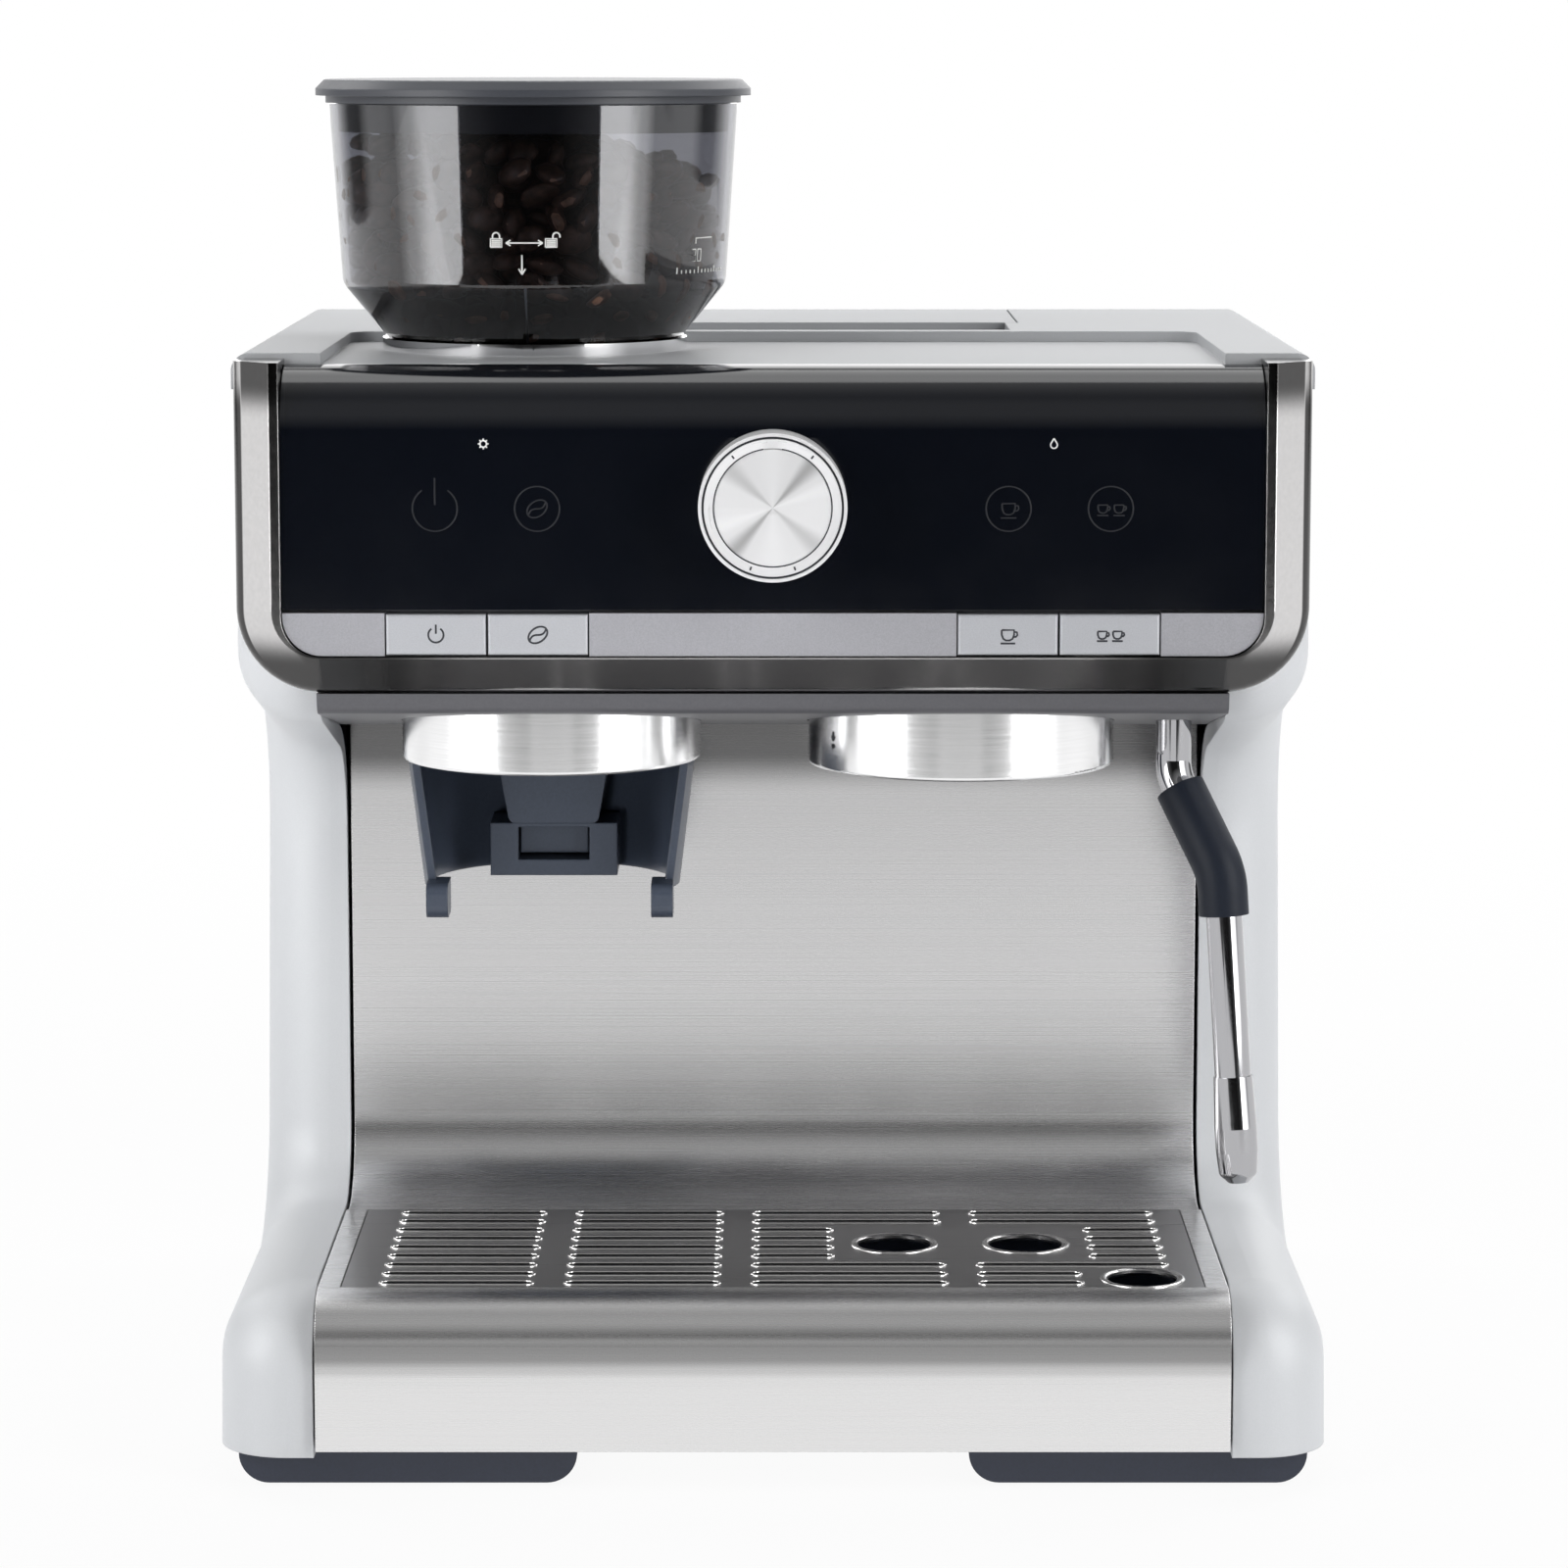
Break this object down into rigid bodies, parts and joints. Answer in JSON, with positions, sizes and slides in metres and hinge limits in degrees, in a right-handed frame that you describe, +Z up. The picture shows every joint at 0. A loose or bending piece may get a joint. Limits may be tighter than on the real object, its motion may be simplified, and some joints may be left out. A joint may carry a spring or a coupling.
{
  "type": "espresso machine with grinder",
  "caption": "Counter espresso machine with bean grinder, bayonet group, swinging steam wand, push buttons, mode knob, slotted drip tray and lift-out water tank.",
  "frame": {"origin": "middle of the underside of the rubber feet, on the table", "axes": "+X to the machine's right as the user faces it, -Y towards the user, +Z up"},
  "size_m": [0.311, 0.31, 0.391],
  "materials": {
    "housing": "satin silver paint",
    "rear_plastic": "fine moulded grain",
    "brushed_steel": "straight brushed grain",
    "frame_steel": "dark brushed grain",
    "black_gloss": "polished",
    "strip_metal": "satin metallic",
    "button_metal": "satin metallic",
    "chrome": "polished",
    "spun_disc": "spun concentric grain",
    "dark_plastic": "fine moulded grain",
    "rubber": "matt",
    "grey_plastic": "moulded",
    "plain_steel": "plain",
    "cast_metal": "cast",
    "board": "circuit board",
    "valve_brass": "plain",
    "pipe": "drawn tube",
    "smoked": "smoked clear plastic",
    "smoked_lid": "smoked plastic",
    "clear_tank": "clear plastic"
  },
  "bodies": {
    "machine": {"side_panel_right": "housing", "side_panel_left": "housing", "top_deck": "housing", "rear_cover": "rear_plastic", "tank_bay": "rear_plastic", "backsplash": "brushed_steel", "front_bezel": "frame_steel", "control_panel": "black_gloss", "button_strip": "strip_metal", "group_collar": "chrome", "grinder_collar": "chrome", "hopper_ring": "chrome", "shower_screw": "chrome", "foot_left": "dark_plastic", "foot_right": "dark_plastic", "grinder_cradle": "dark_plastic", "foot_pads": "rubber", "group_gasket": "rubber", "pump_mounts": "rubber", "cord_gland": "rubber", "head_floor": "grey_plastic", "panel_carrier": "grey_plastic", "pump": "grey_plastic", "burr_housing": "grey_plastic", "grind_chute": "grey_plastic", "rotary_switch": "grey_plastic", "chassis": "plain_steel", "case_screws": "plain_steel", "shower_screen": "plain_steel", "group_head": "cast_metal", "boiler": "cast_metal", "grinder_motor": "cast_metal", "control_board": "board", "main_board": "board", "solenoid_valve": "valve_brass", "water_hoses": "pipe", "steam_pipe": "pipe"},
    "knob": {"control_knob": "chrome", "knob_cap": "spun_disc", "knob_spindle": "plain_steel"},
    "power_button": {"button_power": "button_metal"},
    "grind_button": {"button_grind": "button_metal"},
    "single_button": {"button_single": "button_metal"},
    "double_button": {"button_double": "button_metal"},
    "trigger": {"grind_trigger": "dark_plastic"},
    "wand": {"steam_wand": "chrome", "wand_grip": "rubber", "wand_sleeve": "chrome"},
    "tray": {"drip_tray": "dark_plastic", "tray_fascia": "brushed_steel"},
    "grid": {"drip_grid": "brushed_steel"},
    "adjuster": {"burr_carrier": "grey_plastic", "upper_burr": "plain_steel"},
    "hopper": {"bean_hopper": "smoked"},
    "hopper_cap": {"hopper_lid": "smoked_lid"},
    "rotor": {"lower_burr": "plain_steel", "grinder_shaft": "plain_steel"},
    "tank": {"water_tank": "clear_tank", "tank_valve": "valve_brass"},
    "tank_cover": {"tank_lid": "housing"}
  },
  "joints": [
    {"name": "knob_turn", "type": "hinge", "parent": "machine", "child": "knob", "pos_m": [0, -0.1313, 0.276], "axis": [0, -1, 0], "range_deg": [-90, 90]},
    {"name": "power_button_press", "type": "slide", "parent": "machine", "child": "power_button", "axis": [0, 1, 0], "range_m": [0, 0.002], "stiffness_N_per_m": 500},
    {"name": "grind_button_press", "type": "slide", "parent": "machine", "child": "grind_button", "axis": [0, 1, 0], "range_m": [0, 0.002], "stiffness_N_per_m": 500},
    {"name": "single_button_press", "type": "slide", "parent": "machine", "child": "single_button", "axis": [0, 1, 0], "range_m": [0, 0.002], "stiffness_N_per_m": 500},
    {"name": "double_button_press", "type": "slide", "parent": "machine", "child": "double_button", "axis": [0, 1, 0], "range_m": [0, 0.002], "stiffness_N_per_m": 500},
    {"name": "trigger_push", "type": "hinge", "parent": "machine", "child": "trigger", "pos_m": [-0.064, -0.054, 0.186], "axis": [1, 0, 0], "range_deg": [0, 10], "stiffness_Nm_per_rad": 0.3},
    {"name": "wand_swing", "type": "hinge", "parent": "machine", "child": "wand", "pos_m": [0.1157, -0.07, 0.21], "axis": [0, 0, 1], "range_deg": [-100, 45]},
    {"name": "tray_pull", "type": "slide", "parent": "machine", "child": "tray", "axis": [0, -1, 0], "range_m": [0, 0.2]},
    {"name": "grid_lift", "type": "slide", "parent": "tray", "child": "grid", "axis": [0, 0, 1], "range_m": [0, 0.05]},
    {"name": "grind_adjust", "type": "hinge", "parent": "machine", "child": "adjuster", "pos_m": [-0.07, -0.03, 0.29], "axis": [0, 0, 1], "range_deg": [-60, 60]},
    {"name": "hopper_lift", "type": "slide", "parent": "adjuster", "child": "hopper", "axis": [0, 0, 1], "range_m": [0, 0.08]},
    {"name": "cap_lift", "type": "slide", "parent": "hopper", "child": "hopper_cap", "axis": [0, 0, 1], "range_m": [0, 0.06]},
    {"name": "rotor_spin", "type": "hinge", "parent": "machine", "child": "rotor", "pos_m": [-0.07, -0.03, 0.27], "axis": [0, 0, 1], "continuous": true},
    {"name": "tank_lift", "type": "slide", "parent": "machine", "child": "tank", "axis": [0, 0, 1], "range_m": [0, 0.285]},
    {"name": "tank_lid_open", "type": "hinge", "parent": "tank", "child": "tank_cover", "pos_m": [0, 0.1512, 0.2844], "axis": [-1, 0, 0], "range_deg": [0, 85]}
  ]
}
